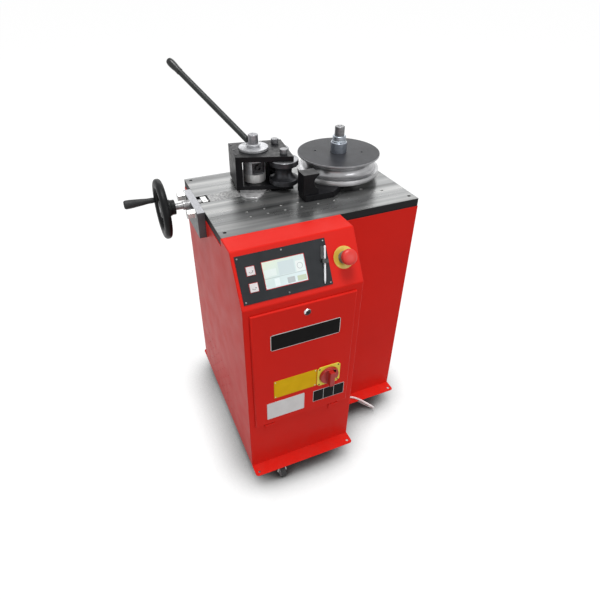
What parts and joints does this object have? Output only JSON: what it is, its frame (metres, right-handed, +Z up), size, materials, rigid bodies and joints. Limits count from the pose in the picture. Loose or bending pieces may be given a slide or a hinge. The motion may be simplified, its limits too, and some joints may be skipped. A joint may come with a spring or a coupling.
{
  "type": "electric tube bending press",
  "caption": "Floor-standing electric rotary press that bends tube, with a turning die, roller carriage, control column and castors.",
  "frame": {"origin": "on the floor under the middle of the steel table", "axes": "+Z up, +X to the right along the table's long side, +Y to the back, away from the control column"},
  "size_m": [0.9373, 0.8974, 1.3521],
  "materials": {
    "red_paint": "semi-gloss powder paint",
    "ground_steel": "ground lengthwise",
    "turned_steel": "turned, bright",
    "blackened_steel": "blackened, matt",
    "dark_disc": "matt dark grey",
    "zinc": "zinc plated",
    "grey_paint": "satin",
    "frame_steel": "satin",
    "cast": "as cast",
    "electric": "matt",
    "panel_plastic": "satin printed sheet",
    "screen": "glossy",
    "key_white": "satin",
    "yellow": "glossy",
    "red_plastic": "glossy",
    "black_plastic": "semi-gloss",
    "label": "satin plates",
    "wheel_rubber": "matt",
    "cord_grey": "matt"
  },
  "bodies": {
    "machine": {"cabinet_shell": "red_paint", "rear_cover": "red_paint", "column_shell": "red_paint", "base_frame": "red_paint", "table_frame": "frame_steel", "table_plate": "ground_steel", "fixing_screws": "blackened_steel", "control_plate": "panel_plastic", "display_screen": "screen", "stop_button_base": "yellow", "door_hinges": "zinc", "electrical_panel": "electric", "gearbox_housing": "cast", "spindle_bearings": "turned_steel", "drive_motor": "cast", "end_bracket": "grey_paint", "bracket_bolts": "zinc", "castor_mounts": "zinc", "cable_gland": "black_plastic", "power_cord": "cord_grey", "cord_coil": "cord_grey", "mains_plug": "black_plastic"},
    "bending_head": {"spindle": "turned_steel", "spindle_gear": "turned_steel", "bending_die": "turned_steel", "die_cover": "dark_disc", "spindle_collars": "turned_steel", "hook_arm": "blackened_steel", "hook_block": "blackened_steel"},
    "pinion": {"pinion_shaft": "turned_steel"},
    "carriage": {"carriage_saddle": "blackened_steel", "slide_bar": "ground_steel", "pivot_pin": "turned_steel"},
    "lever": {"eccentric_shaft": "turned_steel", "clamp_lever": "blackened_steel", "lever_grip": "black_plastic"},
    "yoke": {"yoke_top_plate": "blackened_steel", "yoke_bottom_plate": "blackened_steel", "yoke_side_plates": "blackened_steel", "roller_pins": "turned_steel"},
    "front_roller": {"roller_front": "dark_disc"},
    "rear_roller": {"roller_rear": "dark_disc"},
    "screw": {"lead_screw": "turned_steel", "handwheel": "black_plastic"},
    "crank": {"crank_grip": "black_plastic"},
    "door": {"door_panel": "red_paint", "blank_plates": "label", "switch_plate": "yellow"},
    "lock": {"door_lock": "zinc"},
    "main_switch": {"switch_knob": "red_plastic"},
    "upper_key": {"key_upper": "key_white"},
    "lower_key": {"key_lower": "key_white"},
    "stop_head": {"stop_button_head": "red_plastic"},
    "pen": {"touch_pen": "black_plastic"},
    "left_fork": {"castor_fork_left": "zinc"},
    "right_fork": {"castor_fork_right": "zinc"},
    "front_left_wheel": {"castor_wheel_front_left": "wheel_rubber"},
    "front_right_wheel": {"castor_wheel_front_right": "wheel_rubber"},
    "rear_left_wheel": {"castor_wheel_rear_left": "wheel_rubber"},
    "rear_right_wheel": {"castor_wheel_rear_right": "wheel_rubber"}
  },
  "joints": [
    {"name": "head_turn", "type": "hinge", "parent": "machine", "child": "bending_head", "pos_m": [0.183, 0.044, 0.974], "axis": [0, 0, 1], "range_deg": [0, 180]},
    {"name": "pinion_spin", "type": "hinge", "parent": "machine", "child": "pinion", "pos_m": [0.053, 0.044, 0.864], "axis": [0, 0, 1], "range_deg": [-720, 0]},
    {"name": "carriage_slide", "type": "slide", "parent": "machine", "child": "carriage", "axis": [1, 0, 0], "range_m": [-0.005, 0.009]},
    {"name": "lever_turn", "type": "hinge", "parent": "carriage", "child": "lever", "pos_m": [-0.119, 0.108, 1.099], "axis": [0, 0, 1], "range_deg": [-25, 35]},
    {"name": "yoke_slide", "type": "slide", "parent": "carriage", "child": "yoke", "axis": [1, 0, 0], "range_m": [-0.0087, 0.0121]},
    {"name": "front_roller_spin", "type": "hinge", "parent": "yoke", "child": "front_roller", "pos_m": [-0.039, 0.025, 1.0375], "axis": [0, 0, 1], "continuous": true},
    {"name": "rear_roller_spin", "type": "hinge", "parent": "yoke", "child": "rear_roller", "pos_m": [-0.029, 0.133, 1.0375], "axis": [0, 0, 1], "continuous": true},
    {"name": "screw_spin", "type": "hinge", "parent": "machine", "child": "screw", "pos_m": [-0.35, 0.044, 0.964], "axis": [1, 0, 0], "range_deg": [-1081, 601]},
    {"name": "crank_spin", "type": "hinge", "parent": "screw", "child": "crank", "pos_m": [-0.4833, 0.124, 0.964], "axis": [1, 0, 0], "continuous": true},
    {"name": "door_swing", "type": "hinge", "parent": "machine", "child": "door", "pos_m": [-0.1525, -0.416, 0.292], "axis": [1, 0, 0], "range_deg": [0, 90]},
    {"name": "lock_turn", "type": "hinge", "parent": "door", "child": "lock", "pos_m": [-0.146, -0.42, 0.767], "axis": [0, -1, 0], "range_deg": [0, 90]},
    {"name": "switch_turn", "type": "hinge", "parent": "door", "child": "main_switch", "pos_m": [-0.057, -0.423, 0.463], "axis": [0, 1, 0], "range_deg": [0, 90]},
    {"name": "upper_key_press", "type": "slide", "parent": "machine", "child": "upper_key", "axis": [0, 0.8552, -0.5182], "range_m": [0, 0.0015], "stiffness_N_per_m": 400, "springref_m": -0.002},
    {"name": "lower_key_press", "type": "slide", "parent": "machine", "child": "lower_key", "axis": [0, 0.8552, -0.5182], "range_m": [0, 0.0015], "stiffness_N_per_m": 400, "springref_m": -0.002},
    {"name": "stop_press", "type": "slide", "parent": "machine", "child": "stop_head", "axis": [0, 0.8552, -0.5182], "range_m": [0, 0.004], "stiffness_N_per_m": 1500, "springref_m": -0.003},
    {"name": "pen_pull", "type": "slide", "parent": "machine", "child": "pen", "axis": [0.1942, 0.5084, 0.8389], "range_m": [0, 0.065]},
    {"name": "left_fork_swivel", "type": "hinge", "parent": "machine", "child": "left_fork", "pos_m": [-0.242, -0.408, 0.058], "axis": [0, 0, 1], "continuous": true},
    {"name": "right_fork_swivel", "type": "hinge", "parent": "machine", "child": "right_fork", "pos_m": [0.29, -0.196, 0.058], "axis": [0, 0, 1], "continuous": true},
    {"name": "front_left_roll", "type": "hinge", "parent": "left_fork", "child": "front_left_wheel", "pos_m": [-0.242, -0.436, 0.025], "axis": [1, 0, 0], "continuous": true},
    {"name": "front_right_roll", "type": "hinge", "parent": "right_fork", "child": "front_right_wheel", "pos_m": [0.29, -0.168, 0.025], "axis": [1, 0, 0], "continuous": true},
    {"name": "rear_left_roll", "type": "hinge", "parent": "machine", "child": "rear_left_wheel", "pos_m": [-0.29, 0.194, 0.025], "axis": [1, 0, 0], "continuous": true},
    {"name": "rear_right_roll", "type": "hinge", "parent": "machine", "child": "rear_right_wheel", "pos_m": [0.29, 0.194, 0.025], "axis": [1, 0, 0], "continuous": true}
  ],
  "couplings": [
    {"joint": "pinion_spin", "follows": "head_turn", "ratio": -4},
    {"joint": "screw_spin", "follows": "carriage_slide", "rad_per_m": -2094.4},
    {"joint": "yoke_slide", "follows": "lever_turn", "m_per_rad": 0.0196}
  ]
}
